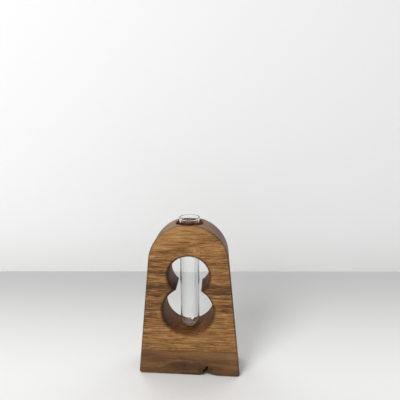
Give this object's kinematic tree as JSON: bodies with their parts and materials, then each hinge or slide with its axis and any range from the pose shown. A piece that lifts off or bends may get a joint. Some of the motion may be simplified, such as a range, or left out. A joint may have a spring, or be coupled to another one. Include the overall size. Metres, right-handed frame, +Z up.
{
  "type": "test tube vase",
  "caption": "Bud vase: a clear glass tube stands in a bored wooden arch with a figure-eight window, glued on a darker wooden base strip.",
  "frame": {"origin": "middle of the footprint, on the surface that the vase stands on", "axes": "+Z up along the tube, -Y towards the front face, +X to the right seen from the front"},
  "size_m": [0.1332, 0.04, 0.2117],
  "materials": {
    "light_wood": "oiled, satin, open grain running across the front",
    "dark_wood": "oiled, satin, swirling grain",
    "clear_glass": "clear, polished, lip rounded in the flame"
  },
  "bodies": {
    "stand": {"arch_block": "light_wood", "base_strip": "dark_wood"},
    "tube": {"test_tube": "clear_glass"}
  },
  "joints": [
    {"name": "tube_lift", "type": "slide", "parent": "stand", "child": "tube", "axis": [0, 0, 1], "range_m": [0, 0.155]}
  ]
}
